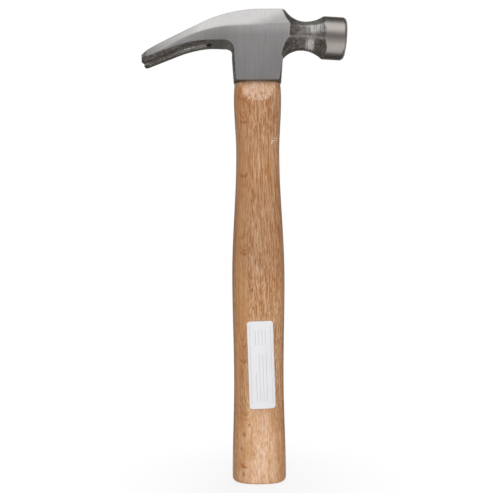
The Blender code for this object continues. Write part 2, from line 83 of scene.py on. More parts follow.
# Claw in millimetres
CLAW_REACH = 83.6
TAPER_START = -26.0
ROOT_FILLET = 7.5
TIP_CHEEK = 10.4
TIP_CROWN_EDGE = 10.1
TIP_FOOT_EDGE = 9.2
TIP_RAKE = 0.4
TIP_ROUND = 2.4
TIP_EDGE_BEVEL = 4.8
TIP_NOSE_LENGTH = 15.0
TIP_NOSE_DROP = 1.4
TIP_NOSE_END = 1.2  # share of its length at which the drop stops growing
TIP_CORNER = (4.4, 3.0)
TIP_INNER_CORNER = (4.6, 3.0)
SLOT_CROTCH = -35.0
CROTCH_HALF = 1.4
SLOT_TIP_HALF = 3.2
SLOT_GROOVE = 1.6
CROTCH_SINK = (1.9, 4.0, 3.2)  # half length, half width and depth of the recess

# Neck and bell in millimetres
POLL_TILT = math.radians(3.8)
POLL_AXIS = HEAD_HEIGHT - 16.2
NECK_WAIST = 33.5
NECK_FLAT = 9.75
NECK_UPPER_SLOPE = 10.4
NECK_LOWER_SLOPE = 8.6
NECK_FLARE = 18.5
NECK_FRONT_FLARE = 16.0
NECK_UPPER_FLARE = 20.0
NECK_LOWER_FLARE = 15.4
FORGE_DEPTH = 0.07
BELL_FLARE = 24.0
BELL_RADIUS = 15.2
FACE_REACH = 64.3
FACE_CHAMFER = 2.3
FACE_CROWN = 260.0
CLAW_PAST_WAIST = 2.0  # the claw's block and the bell overlap around the waist
BELL_BEFORE_WAIST = 6.0

# Roll of the cheek below the crease, and the crease's softness along the head
CHEEK_ROLL = 0.2
ROLL_HEIGHT = 7.0
ROLL_END = 1.6
ROLL_AT_TIP = 0.3
ROLL_RUN = (-60.0, -32.0)
CREASE_SOFT_NECK = 0.06
CREASE_SOFT_CLAW = 0.32
CREASE_CLAW_RUN = (10.0, -16.0)
CREASE_SOFT_TIP = 0.4
CREASE_TIP_RUN = (-48.0, -73.0)

# Other round and soft edges of the head in millimetres
ROOF_EDGE_ROUND = 0.35
CHEEK_EDGE_ROUND = 0.4
BEVEL_SOFT = 0.5
TIP_CORNER_SOFT = 0.5
MOUTH_ROUND = 0.7
NECK_FILLET = 0.8
NECK_SQUARE_SOFT = 0.6
NECK_SLOPE_SOFT = 0.7
NECK_EDGE_SOFT = 0.45
SPARED_SOFT = 3.0
SPARED_BLEND = 1.6
BELL_EDGE_SOFT = 0.9
FACE_EDGE_SOFT = 0.7
EYE_ROUND = 0.4
SLOT_ROUND = 0.35
GROOVE_SOFT = 0.4
CROTCH_SOFT = 0.3

# Wedges in millimetres: length, thickness, thickness of the tip, depth
WOOD_WEDGE = (26.4, 4.6, 1.6, 30.0)
STEEL_WEDGE = (12.6, 2.8, 0.8, 16.0)
STEEL_SPACING = 12.0
STEEL_TURN = math.radians(8.0)
KERF_PAST_EYE = 6.0

# Label in millimetres
LABEL_SIZE = (18.6, 62.4)
LABEL_CORNER = 2.0
LABEL_CENTRE = (1.6, 85.6)
LABEL_TILT = math.radians(1.7)
LABEL_LIFT = 0.16
LABEL_PAPER = 0.12
LABEL_ROWS = 156
LABEL_COLUMNS = 48

# Plain ruled lines of the label: places across, low end, high end, half width, ink
RULED_LINES = (
    ((-7.4, 7.4), -28.0, 28.0, 0.1, 0.55),
    ((-3.6,), -26.0, -6.0, 0.16, 0.45),
    ((-1.2, 1.2, 3.6), -26.0, 8.0, 0.16, 0.45),
    ((-3.6, -1.2, 1.2, 3.6), 14.0, 25.0, 0.16, 0.45),
)
RULE_EDGE = 0.08
RULE_END = 0.1

# Skins in millimetres
HEAD_GRID = (0.5, 0.5, 0.5)
HANDLE_GRID = (0.55, 0.55, 0.9)
GRID_MARGIN = 1.0
FACE_MARGIN = 2.5  # the tilted face reaches past its centre
GRID_BLOCKS = 12
SLOPE_STEP = 0.04
SETTLE_PASSES = 4
SETTLE_LIMIT = 0.25


# Fields: distance in millimetres, below zero inside

def mix(low, high, share):
    return low + (high - low) * share


def fade(value, start, stop):
    """Zero before the start and one past the stop, which may lie on either side of it."""
    return np.clip((value - start) / (stop - start), 0.0, 1.0)


def round_max(a, b, radius):
    """Intersection of two fields with a round edge."""
    corner = np.hypot(np.maximum(radius + a, 0.0), np.maximum(radius + b, 0.0))
    return np.minimum(-radius, np.maximum(a, b)) + corner


def round_min(a, b, radius):
    """Union of two fields with a round fillet."""
    return -round_max(-a, -b, radius)


def soft_max(a, b, width):
    """Intersection with a soft edge, for faces that meet at a shallow angle."""
    near = np.maximum(width - np.abs(a - b), 0.0)
    return np.maximum(a, b) + near * near / (4.0 * width)


def squared_oval(x, y, half_x, half_y, squareness):
    """Distance to a squared oval."""
    tiny = 1e-6
    across = np.abs(x) / half_x
    deep = np.abs(y) / half_y
    size = np.maximum((across ** squareness + deep ** squareness) ** (1.0 / squareness), tiny)
    lean_x = (across / size) ** (squareness - 1.0) / half_x
    lean_y = (deep / size) ** (squareness - 1.0) / half_y
    return (size - 1.0) / np.maximum(np.hypot(lean_x, lean_y), tiny)


def rail(x, sizes):
    """Height and slope of a rail that is flat, bends down at a radius and then runs straight."""
    start, top, radius, angle = sizes
    bend = radius * math.sin(angle)
    run = np.clip(start - x, 0.0, bend)
    drop = np.sqrt(radius ** 2 - run ** 2)
    past = np.maximum(start - bend - x, 0.0)
    return top - radius + drop - past * math.tan(angle), run / drop


def to_tip(x):
    """Zero where the claw starts to narrow, one at its tips."""
    return np.clip((TAPER_START - x) / (CLAW_REACH + TAPER_START), 0.0, None)


def nose(x):
    """Extra drop of the upper faces towards the tips of the claw."""
    share = np.clip((TIP_NOSE_LENGTH - CLAW_REACH - x) / TIP_NOSE_LENGTH, 0.0, TIP_NOSE_END)
    return TIP_NOSE_DROP * share ** 2


def crease_height(x):
    return rail(x, CREASE)[0] - nose(x)


def half_cheek(x):
    return mix(CHEEK, TIP_CHEEK, to_tip(x))


def ground_faces(x, y, z):
    """Roof, sloping facets and cheeks of the claw and socket."""
    roof, slope = rail(x, ROOF)
    roof = roof - nose(x)
    crease = crease_height(x)
    cheek = half_cheek(x)
    lean = cheek - mix(CROWN_EDGE, TIP_CROWN_EDGE, to_tip(x))
    drop = roof - crease
    long = np.hypot(lean, drop)
    top = (z - roof) / np.hypot(1.0, slope)
    facet = ((y - cheek) * drop + (z - crease) * lean) / long
    facet = facet / np.hypot(1.0, slope * lean / long)
    roll = CHEEK_ROLL * mix(ROLL_AT_TIP, 1.0, fade(x, *ROLL_RUN))
    side = y - cheek + roll * np.clip((z - crease) / ROLL_HEIGHT + 1.0, 0.0, ROLL_END) ** 2
    soft = mix(CREASE_SOFT_NECK, CREASE_SOFT_CLAW, fade(x, *CREASE_CLAW_RUN))
    soft = soft + CREASE_SOFT_TIP * fade(x, *CREASE_TIP_RUN)
    return soft_max(round_max(top, facet, ROOF_EDGE_ROUND), side, soft)


def tip_corner(x, across, sizes):
    """Distance past a cut corner of a tine, with its sizes along x and across."""
    long_x, long_y = sizes
    return ((long_x - CLAW_REACH - x) * long_y + across * long_x) / math.hypot(long_x, long_y)


def outer_corner(x, y):
    return tip_corner(x, y - TIP_CHEEK, TIP_CORNER)


def inner_corner(x, y):
    return tip_corner(x, SLOT_TIP_HALF - y, TIP_INNER_CORNER)


def forged_faces(x, y, z):
    """Underside of the claw with its bevels and tips, and the ends of the socket."""
    under, slope = rail(x, UNDERSIDE)
    rise = TIP_EDGE_BEVEL * to_tip(x)
    foot_edge = mix(CROWN_EDGE, TIP_FOOT_EDGE, to_tip(x))
    foot = half_cheek(x) - foot_edge
    bevel = ((y - foot_edge) * rise - (z - under) * foot) / np.hypot(foot, rise)
    claw_low = soft_max((under - z) / np.hypot(1.0, slope), bevel, BEVEL_SOFT)
    neck_low = neck_bottom()
    share = fade(z, 0.0, neck_low)
    sink = END_BULGE * (y / CHEEK) ** 2
    end = mix(SOCKET_MOUTH_HALF, SOCKET_HALF, share)
    left = round_max(-x - end + sink, -z, MOUTH_ROUND)
    right = round_max(x - end + sink * mix(1.0, NECK_SIDE_BULGE, share), -z, MOUTH_ROUND)
    low = np.maximum(round_min(claw_low, left, ROOT_FILLET), round_min(neck_low - z, right, NECK_FILLET))
    roof_tip, _ = rail(np.float64(-CLAW_REACH), ROOF)
    under_tip, _ = rail(np.float64(-CLAW_REACH), UNDERSIDE)
    rake = TIP_RAKE * (roof_tip - z) / (roof_tip - under_tip)
    low = round_max(low, rake - CLAW_REACH - x, TIP_ROUND)
    for corner in (outer_corner(x, y), inner_corner(x, y)):
        low = soft_max(low, corner, TIP_CORNER_SOFT)
    return np.maximum(low, x - NECK_WAIST - CLAW_PAST_WAIST)


def neck_bottom():
    """Height of the neck's underside where it meets the socket."""
    run = NECK_WAIST - SOCKET_HALF
    return POLL_AXIS - NECK_FLAT - NECK_FLARE + math.sqrt(NECK_FLARE ** 2 - run ** 2)


def poll_place(x, z):
    """Reach along the poll's axis and height above it."""
    height = z - POLL_AXIS - SOCKET_HALF * math.tan(POLL_TILT)
    return (x * math.cos(POLL_TILT) - height * math.sin(POLL_TILT),
            x * math.sin(POLL_TILT) + height * math.cos(POLL_TILT))


def forge_marks(x, y, z):
    """Shallow hammer and scale marks, between -1 and 1, from waves that bend one another."""
    slow = np.sin(0.83 * x + 1.4 * np.sin(0.61 * z + 0.9 * y))
    slow = slow * np.sin(0.74 * z - 0.5 * x + 1.1 * np.sin(0.7 * y))
    quick = np.sin(2.3 * x + 1.2 * np.sin(1.3 * z)) * np.sin(0.9 * z + 1.7 * y + 0.6 * x)
    return 0.6 * slow + 0.4 * quick


def neck_flats(x, y, z):
    """Front, upright, upper and lower flats of the neck, swept out towards the cheeks and the bell."""
    reach, up = poll_place(x, z)

    def flat(height, waist, cheek_radius):
        radius = np.where(reach < NECK_WAIST, cheek_radius, BELL_FLARE)
        return radius - np.hypot(reach - NECK_WAIST, height - waist - radius)

    return (flat(y, NECK_FLAT, NECK_FRONT_FLARE), flat(np.abs(up), NECK_FLAT, NECK_FLARE),
            flat((y + up) / math.sqrt(2.0), NECK_UPPER_SLOPE, NECK_UPPER_FLARE),
            flat((y - up) / math.sqrt(2.0), NECK_LOWER_SLOPE, NECK_LOWER_FLARE))


def neck_limit(x, y, z):
    """Octagonal neck with forging marks, which leaves the socket below it whole."""
    front, upright, upper, lower = neck_flats(x, y, z)
    limit = soft_max(soft_max(front, upright, NECK_SQUARE_SOFT), np.maximum(upper, lower), NECK_SLOPE_SOFT)
    limit = limit + FORGE_DEPTH * forge_marks(x, y, z)
    spared = soft_max(z - neck_bottom(), x - SOCKET_HALF, SPARED_SOFT)
    return -soft_max(-limit, -spared, SPARED_BLEND)


def bell(x, y, z):
    """Round bell with a chamfered, slightly crowned striking face."""
    reach, up = poll_place(x, z)
    out = np.hypot(y, up)
    end = FACE_REACH / math.cos(POLL_TILT)
    wall = out - BELL_RADIUS
    face = reach - end + out ** 2 / (2.0 * FACE_CROWN)
    chamfer = (wall + reach - end + FACE_CHAMFER) / math.sqrt(2.0)
    shape = soft_max(soft_max(wall, chamfer, BELL_EDGE_SOFT), face, FACE_EDGE_SOFT)
    return np.maximum(shape, NECK_WAIST - BELL_BEFORE_WAIST - reach)


def eye(x, y, z):
    """Distance to the eye's wall, from its length and width at three heights."""
    heights, lengths, widths = zip(*EYE_SIZES)
    half_x = np.interp(z, heights, lengths) / 2
    half_y = np.interp(z, heights, widths) / 2
    return squared_oval(x, y, half_x, half_y, EYE_SQUARENESS)


def slot_half(x):
    return mix(CROTCH_HALF, SLOT_TIP_HALF, (SLOT_CROTCH - x) / (CLAW_REACH + SLOT_CROTCH))


def nail_slot(x, y, z):
    """Slot that widens from a round crotch, cut square to the claw."""
    middle, _ = rail(np.float64(SLOT_CROTCH), UNDERSIDE)
    lean = math.tan((ROOF[3] + UNDERSIDE[3]) / 2)
    along = x + lean * (z - middle)
    open_part = y - slot_half(along)
    crotch = np.hypot(along - SLOT_CROTCH, y) - CROTCH_HALF
    return np.where(along < SLOT_CROTCH, open_part, crotch)


def slot_groove(x, y, z):
    """Bevel along the slot's lower edges."""
    under, _ = rail(x, UNDERSIDE)
    bevel = (y - slot_half(x) + z - under - SLOT_GROOVE) / math.sqrt(2.0)
    return np.maximum(bevel, x - SLOT_CROTCH - SLOT_GROOVE)


def crotch_sink(x, y, z):
    """Tapered recess around the crotch of the slot, open at the underside."""
    under, _ = rail(x, UNDERSIDE)
    half_x, half_y, depth = CROTCH_SINK
    above = z - under
    oval = np.hypot(x - SLOT_CROTCH, y * half_x / half_y) - mix(half_x, half_x / 2, above / depth)
    return np.maximum(oval, above - depth)


def head_field(points):
    x, y, z = points[..., 0], np.abs(points[..., 1]), points[..., 2] - EYE_BOTTOM
    body = round_max(ground_faces(x, y, z), forged_faces(x, y, z), CHEEK_EDGE_ROUND)
    body = np.minimum(body, bell(x, y, z))
    body = soft_max(body, neck_limit(x, y, z), NECK_EDGE_SOFT)
    body = round_max(body, -eye(x, y, z), EYE_ROUND)
    body = round_max(body, -nail_slot(x, y, z), SLOT_ROUND)
    body = soft_max(body, -slot_groove(x, y, z), GROOVE_SOFT)
    return soft_max(body, -crotch_sink(x, y, z), CROTCH_SOFT)


def handle_size(z):
    """Half width and half thickness of the handle at each height."""
    width = np.full_like(z, STATIONS[0][1])
    thick = np.full_like(z, STATIONS[0][2])
    for (low, low_w, low_t), (high, high_w, high_t) in zip(STATIONS, STATIONS[1:]):
        share = fade(z, low, high)
        eased = (1.0 - np.cos(math.pi * share)) / 2
        if high == SHOULDER:
            eased = 1.0 - np.sqrt(1.0 - share ** 2)
        width = np.where(z > low, mix(low_w, high_w, eased), width)
        thick = np.where(z > low, mix(low_t, high_t, eased), thick)
    return width / 2, thick / 2


def handle_oval(x, y, z):
    return squared_oval(x, y, *handle_size(z), SQUARENESS)


def tongue_flat(y, z):
    """Flats shaved on the front and back, from the collar into the mouth of the eye."""
    mouth_half = EYE_SIZES[0][2] / 2 + GAP
    collar_half = STATIONS[-1][2] / 2
    above = np.maximum(z - SHOULDER + TONGUE_LENGTH, 0.0)
    share = mix(above / TONGUE_LENGTH, 1.0 - np.exp(-above / SCOOP_RUN), SCOOP_SHARE)
    depth = share * (collar_half - mouth_half)
    return (np.abs(y) - collar_half + depth) * TONGUE_SHARE


def wedge_slot(x, y, z, sizes):
    """Slot of a wedge that hangs down from the crown, long along x."""
    length, thick, tip, depth = sizes
    down = CROWN - z
    half = mix(thick, tip, down / depth) / 2 + GAP
    return np.maximum(np.maximum(np.abs(x) - length / 2 - GAP, np.abs(y) - half), down - depth - GAP)


def handle_field(points):
    x, y, z = points[..., 0], points[..., 1], points[..., 2]
    body = round_max(handle_oval(x, y, z), -z, BUTT_ROUND)
    body = soft_max(body, tongue_flat(y, z), TONGUE_SOFT)
    body = round_max(body, z - SHOULDER, SHOULDER_ROUND)
    tenon = np.maximum(eye(x, y, z - EYE_BOTTOM) + GAP, z - EYE_BOTTOM - HEAD_HEIGHT)
    body = np.minimum(body, np.maximum(tenon, SHOULDER - TONGUE_LENGTH / 2 - z))
    kerf = (EYE_SIZES[2][1] + KERF_PAST_EYE, *WOOD_WEDGE[1:])
    body = np.maximum(body, -wedge_slot(x, y, z, kerf))
    for side in (1.0, -1.0):
        place = side * STEEL_SPACING / 2
        turn = math.pi / 2 + side * STEEL_TURN
        along = (x - place) * math.cos(turn) + y * math.sin(turn)
        across = y * math.cos(turn) - (x - place) * math.sin(turn)
        body = np.maximum(body, -wedge_slot(along, across, z, STEEL_WEDGE))
    return body


# Skin of a field

def new_object(name, data):
    made = bpy.data.objects.new(name, data)
    bpy.context.scene.collection.objects.link(made)
    return made


def field_slope(field, points):
    """Unit vectors out of the field at each point."""
    tiny = 1e-9
    slope = np.empty_like(points)
    for axis in range(3):
        shift = np.zeros(3)
        shift[axis] = SLOPE_STEP
        slope[:, axis] = field(points + shift) - field(points - shift)
    return slope / np.maximum(np.linalg.norm(slope, axis=1, keepdims=True), tiny)


def cell_points(values, inside, cells):
    """Number of each cell that the surface crosses, and the mean of its crossings in grid steps."""

    def corner(array, offset):
        return array[tuple(slice(o, o + size) for o, size in zip(offset, cells))]

    offsets = list(itertools.product((0, 1), repeat=3))
    count = sum(corner(inside, offset).astype(np.int8) for offset in offsets)
    active = (count > 0) & (count < len(offsets))
    number = np.full(cells, -1, dtype=np.int64)
    number[active] = np.arange(active.sum())
    total = np.zeros((active.sum(), 3))
    crossings = np.zeros(active.sum())
    for axis in range(3):
        for start in (offset for offset in offsets if offset[axis] == 0):
            stop = (*start[:axis], 1, *start[axis + 1:])
            at_start = corner(values, start)[active]
            at_stop = corner(values, stop)[active]
            crosses = (at_start < 0.0) != (at_stop < 0.0)
            share = at_start[crosses] / (at_start[crosses] - at_stop[crosses])
            place = np.tile(np.array(start, dtype=float), (crosses.sum(), 1))
            place[:, axis] += share
            total[crosses] += place
            crossings[crosses] += 1.0
    return number, np.argwhere(active).astype(float) + total / crossings[:, None]


def cell_faces(inside, number):
    """Four-sided faces that join the cells around each crossed grid edge."""
    faces = []
    for axis in range(3):
        first, second = (axis + 1) % 3, (axis + 2) % 3
        ahead = np.take(inside, range(1, inside.shape[axis]), axis=axis)
        behind = np.take(inside, range(inside.shape[axis] - 1), axis=axis)
        for leaving in (True, False):
            edges = np.argwhere((behind & ~ahead) if leaving else (~behind & ahead))
            around = []
            for back_first, back_second in ((1, 1), (0, 1), (0, 0), (1, 0)):
                cell = edges.copy()
                cell[:, first] -= back_first
                cell[:, second] -= back_second
                around.append(number[tuple(cell.T)])
            around = np.stack(around, axis=1)
            faces.append(around if leaving else around[:, ::-1])
    return np.concatenate(faces)


def skin_points(field, low, high, steps):
    """Points and four-sided faces of the zero surface of a field on a grid."""
    axes = [np.arange(a, b + s, s) for a, b, s in zip(low, high, steps)]
    grid = np.stack(np.meshgrid(*axes, indexing="ij"), axis=-1)
    values = np.concatenate([field(block) for block in np.array_split(grid, GRID_BLOCKS)])
    inside = values < 0.0
    number, places = cell_points(values, inside, tuple(size - 1 for size in values.shape))
    return places * np.array(steps) + np.array(low), cell_faces(inside, number)


def skin_object(name, field, low, high, steps):
    """Mesh object on the zero surface of a field, with its points in millimetres and its normals."""
    points, faces = skin_points(field, low, high, steps)
    for _ in range(SETTLE_PASSES):
        away = field_slope(field, points)
        points = points - away * np.clip(field(points), -SETTLE_LIMIT, SETTLE_LIMIT)[:, None]
    normals = field_slope(field, points)
    mesh = bpy.data.meshes.new(name)
    mesh.from_pydata((points * MM).tolist(), [], faces.tolist())
    mesh.validate()
    mesh.shade_smooth()
    mesh.normals_split_custom_set_from_vertices(normals.tolist())
    return new_object(name, mesh), points, normals


def paint(piece, name, values):
    """Keeps one value for each point, which a material reads by this name."""
    layer = piece.data.attributes.new(name, "FLOAT", "POINT")
    layer.data.foreach_set("value", np.ascontiguousarray(values, dtype=np.float32))


# Node helpers

def opaque(colour):
    """Colour with full alpha, or a socket as it is."""
    return (*colour, 1.0) if isinstance(colour, tuple) else colour


class Nodes:
    """Builds the nodes of one material or world."""

    def __init__(self, tree):
        self.tree = tree
        tree.nodes.clear()

    def add(self, kind, inputs=(), **settings):
        node = self.tree.nodes.new("ShaderNode" + kind)
        for key, value in settings.items():
            setattr(node, key, value)
        for key, value in dict(inputs).items():
            self.put(node.inputs[key], value)
        return node

    def put(self, socket, value):
        if isinstance(value, bpy.types.NodeSocket):
            self.tree.links.new(value, socket)
        else:
            socket.default_value = value

    def math(self, operation, first, second=0.0, third=0.0, clamp=False):
        node = self.add("Math", operation=operation, use_clamp=clamp)
        for socket, value in zip(node.inputs, (first, second, third)):
            self.put(socket, value)
        return node.outputs[0]

    def times(self, first, *others):
        """Product of all the values."""
        for other in others:
            first = self.math("MULTIPLY", first, other)
        return first

    def weigh(self, first, first_share, second, second_share):
        """Weighted sum of two values."""
        return self.math("ADD", self.times(first, first_share), self.times(second, second_share))

    def minus(self, first, second):
        return self.math("SUBTRACT", first, second)

    def size(self, value):
        return self.math("ABSOLUTE", value)

    def between(self, share, first, second):
        return self.add("Mix", {"Factor": share, "A": first, "B": second}).outputs["Result"]

    def axes(self, vector):
        return tuple(self.add("SeparateXYZ", {"Vector": vector}).outputs)

    def stretch(self, vector, scale, shift=(0.0, 0.0, 0.0), turn=(0.0, 0.0, 0.0)):
        inputs = {"Vector": vector, "Scale": scale, "Location": shift, "Rotation": turn}
        return self.add("Mapping", inputs).outputs[0]

    def grain(self, place, scale, shift=(0.0, 0.0, 0.0), detail=3.0, rough=0.6, distortion=0.0):
        """Noise with so many marks to a millimetre along x, y and z."""
        inputs = {"Vector": self.stretch(place, scale, shift), "Scale": 1.0, "Detail": detail,
                  "Roughness": rough, "Distortion": distortion}
        return self.add("TexNoise", inputs).outputs["Fac"]

    def ramp(self, value, low, high, to_low=0.0, to_high=1.0, smooth=False):
        inputs = {"Value": value, "From Min": low, "From Max": high, "To Min": to_low, "To Max": to_high}
        kind = "SMOOTHSTEP" if smooth else "LINEAR"
        return self.add("MapRange", inputs, interpolation_type=kind).outputs["Result"]

    def blend(self, share, first, second, how="MIX"):
        node = self.add("Mix", data_type="RGBA", blend_type=how, clamp_factor=True)
        colours = [socket for socket in node.inputs if socket.type == "RGBA"]
        self.put(node.inputs["Factor"], share)
        self.put(colours[0], opaque(first))
        self.put(colours[1], opaque(second))
        return next(socket for socket in node.outputs if socket.type == "RGBA")

    def bump(self, height, strength, distance):
        inputs = {"Height": height, "Strength": strength, "Distance": distance}
        return self.add("Bump", inputs).outputs["Normal"]

    def emission(self, colour, strength):
        return self.add("Emission", {"Color": opaque(colour), "Strength": strength}).outputs[0]

    def finish(self, surface, kind="OutputMaterial"):
        self.put(self.add(kind).inputs["Surface"], surface)


def new_material(name):
    made = bpy.data.materials.new(name)
    made.use_nodes = True
    return made, Nodes(made.node_tree)


def shade(nodes, inputs):
    nodes.finish(nodes.add("BsdfPrincipled", inputs).outputs[0])


def place_in_mm(nodes):
    coordinates = nodes.add("TexCoord").outputs["Object"]
    return nodes.stretch(coordinates, (1.0 / MM, 1.0 / MM, 1.0 / MM))


def painted(nodes, name):
    return nodes.add("Attribute", attribute_name=name).outputs["Fac"]


# Steel

GROUND_SHADE = (0.6, 0.59, 0.59)
GROUND_SHINE = (0.8, 0.79, 0.78)
GROUND_CLOUD = (0.665, 0.65, 0.645)
GROUND_PAINTED_SHADE = (0.3, 0.288, 0.28)
BELL_TINT = (1.0, 0.95, 0.9)
SCALE_DARK = (0.112, 0.101, 0.088)
SCALE_PALE = (0.365, 0.338, 0.3)
SCALE_WEAR_AND_HIGHLIGHT = (0.8, 0.785, 0.77)
SCALE_SPECK_AND_GLINT = (0.8, 0.785, 0.765)
SCALE_SOOT_AND_SHADE = (0.014, 0.013, 0.012)
WEDGE_DARK = (0.2, 0.19, 0.18)
WEDGE_PALE = (0.46, 0.45, 0.44)


def ground_steel(n, place):
    """Brushed colour of the ground faces with its painted shade, and its lines."""
    fine = n.grain(place, (3.4, 3.4, 0.1), detail=4.0)
    broad = n.grain(place, (0.7, 0.7, 0.03), rough=0.55)
    cloud = n.grain(place, (0.06, 0.06, 0.06), rough=0.5)
    lines = n.weigh(fine, 0.65, broad, 0.35)
    colour = n.blend(n.ramp(lines, 0.36, 0.64), GROUND_SHADE, GROUND_SHINE)
    colour = n.blend(n.ramp(cloud, 0.35, 0.7, 0.0, 0.5), colour, GROUND_CLOUD)
    # painted shade on the cheeks, facets and bell, where the steel is also less polished
    colour = n.blend(painted(n, "dull_and_shade"), colour, GROUND_PAINTED_SHADE)
    return n.blend(painted(n, "bell"), colour, BELL_TINT, "MULTIPLY"), lines


def forged_steel(n, place, grit):
    """Colour of the forged faces with wear and painted highlight, sooty darkening that is mostly painted
    shade, and speckles with painted glints; then its scale, streaks and the places of wear and painted
    highlight.
    """
    lumps = n.grain(place, (0.45, 0.45, 0.45), detail=4.0)
    streaks = n.grain(place, (1.5, 0.1, 0.1))
    scale = n.weigh(lumps, 0.5, grit, 0.5)
    colour = n.blend(n.ramp(scale, 0.38, 0.62), SCALE_DARK, SCALE_PALE)
    # bright patches and ridges: partly wear, partly painted highlight
    rubbed_and_highlight = n.ramp(n.weigh(streaks, 0.6, grit, 0.6), 0.5, 0.64)
    rubbed_and_highlight = n.times(painted(n, "wear_and_highlight"), rubbed_and_highlight)
    colour = n.blend(rubbed_and_highlight, colour, SCALE_WEAR_AND_HIGHLIGHT)
    # sooty darkening: partly dark scale, mostly painted shade
    soot_and_shade = n.times(painted(n, "soot_and_shade"), n.ramp(lumps, 0.35, 0.6, 1.15, 0.7))
    colour = n.blend(soot_and_shade, colour, SCALE_SOOT_AND_SHADE)
    # speckles: partly wear, partly painted glints
    specks_and_glints = n.grain(place, (1.1, 1.1, 1.1), (4.0, 2.0, 9.0), rough=0.7)
    specks_and_glints = n.times(painted(n, "fleck_and_glint"), n.ramp(specks_and_glints, 0.47, 0.53))
    return n.blend(specks_and_glints, colour, SCALE_SPECK_AND_GLINT), scale, streaks, rubbed_and_highlight


def head_steel():
    """Ground steel where the head is polished, and forged steel elsewhere."""
    made, n = new_material("head_steel")
    place = place_in_mm(n)
    grit = n.grain(place, (1.7, 1.7, 1.7), detail=4.0, rough=0.65)
    bright, lines = ground_steel(n, place)
    dark, scale, streaks, rubbed_and_highlight = forged_steel(n, place, grit)
    edge = n.math("ADD", painted(n, "polish"), n.ramp(grit, 0.0, 1.0, -0.22, 0.22))
    mask = n.ramp(edge, 0.38, 0.62, smooth=True)
    rough_bright = n.math("ADD", n.ramp(lines, 0.3, 0.7, 0.27, 0.37), n.times(painted(n, "dull_and_shade"), 0.12))
    rough_dark = n.minus(n.ramp(scale, 0.3, 0.7, 0.58, 0.44), n.times(rubbed_and_highlight, 0.14))
    height = n.between(mask, n.math("ADD", scale, n.times(streaks, 0.9)), n.times(lines, 0.06))
    shade(n, {"Base Color": n.blend(mask, dark, bright), "Metallic": n.ramp(mask, 0.0, 1.0, 0.72, 1.0),
              "Roughness": n.between(mask, rough_dark, rough_bright), "Normal": n.bump(height, 0.8, 0.0004)})
    return made


def wedge_steel():
    made, n = new_material("wedge_steel_worn")
    scratches = n.grain(place_in_mm(n), (0.6, 4.0, 4.0), detail=4.0)
    colour = n.blend(n.ramp(scratches, 0.3, 0.7), WEDGE_DARK, WEDGE_PALE)
    shade(n, {"Base Color": colour, "Metallic": 1.0, "Roughness": n.ramp(scratches, 0.3, 0.7, 0.5, 0.33),
              "Normal": n.bump(scratches, 0.4, 0.0001)})
    return made


# Wood

WOOD_DARK = (0.33, 0.124, 0.035)
WOOD_PALE = (0.635, 0.412, 0.252)
WOOD_WANDER = (0.5, 0.22, 0.078)
WOOD_FLECK = (0.31, 0.115, 0.035)
WOOD_PORE = (0.27, 0.1, 0.032)
WOOD_VEIN = (0.3, 0.11, 0.03)
WOOD_BUSY = (0.3, 0.112, 0.036)
RIM_PAINTED_SHADE = (0.23, 0.11, 0.046)
GOLDEN_DARK = (0.36, 0.15, 0.048)
GOLDEN_PALE = (0.5, 0.262, 0.12)
ARC_INK = (0.34, 0.12, 0.03)
STROKE_INK = (0.3, 0.098, 0.02)
DEEPER_TINT = (0.92, 0.91, 0.89)
LIGHTER_TINT = (1.09, 1.11, 1.08)
PALER_DARK = (0.62, 0.33, 0.135)
PALER_PALE = (1.0, 0.78, 0.6)
PALER_LIGHT_TINT = (1.26, 1.29, 1.3)
PALER_FLECK = (0.56, 0.262, 0.108)
SHAVED_TINT = (0.9, 1.0, 1.17)
SHAVED_FLECK = (0.43, 0.205, 0.09)
WEDGE_TONE = 0.6

# Marks on the front of the handle: place across and height, half sizes
KNOTS = (
    (-4.6, 139.0, 0.55, 1.4),
    (-3.9, 126.2, 0.45, 1.1),
)
ORANGE_KNOTS = (
    (-10.7, 35.8, 1.0, 1.3),
    (-12.8, 25.4, 0.8, 1.2),
    (-12.2, 13.6, 0.9, 1.5),
    (-10.4, 12.6, 1.6, 0.8),
    (-11.3, 7.5, 0.7, 1.6),
    (-7.2, 42.8, 0.7, 1.0),
    (-5.0, 202.7, 0.5, 0.9),
)
SCUFFS = (
    (12.6, 247.6, 1.7, 0.35),
    (12.0, 246.0, 2.2, 0.3),
    (10.4, 245.2, 0.6, 1.3),
    (9.6, 243.8, 0.4, 0.9),
)
ARC_PLACES = (
    (-10.0, 268.0, 6.5, 14.0),
    (-11.0, 212.0, 5.0, 10.0),
    (-10.4, 173.0, 5.0, 9.0),
    (-13.0, 98.0, 5.0, 14.0),
    (-11.5, 52.0, 5.0, 7.0),
)
MARK_SOFT = 0.9

# Each kind of mark with its share and colour
MARKS = (
    (KNOTS, 0.8, (0.1, 0.04, 0.018)),
    (ORANGE_KNOTS, 0.85, (0.36, 0.12, 0.024)),
    (SCUFFS, 0.6, (0.74, 0.66, 0.56)),
)

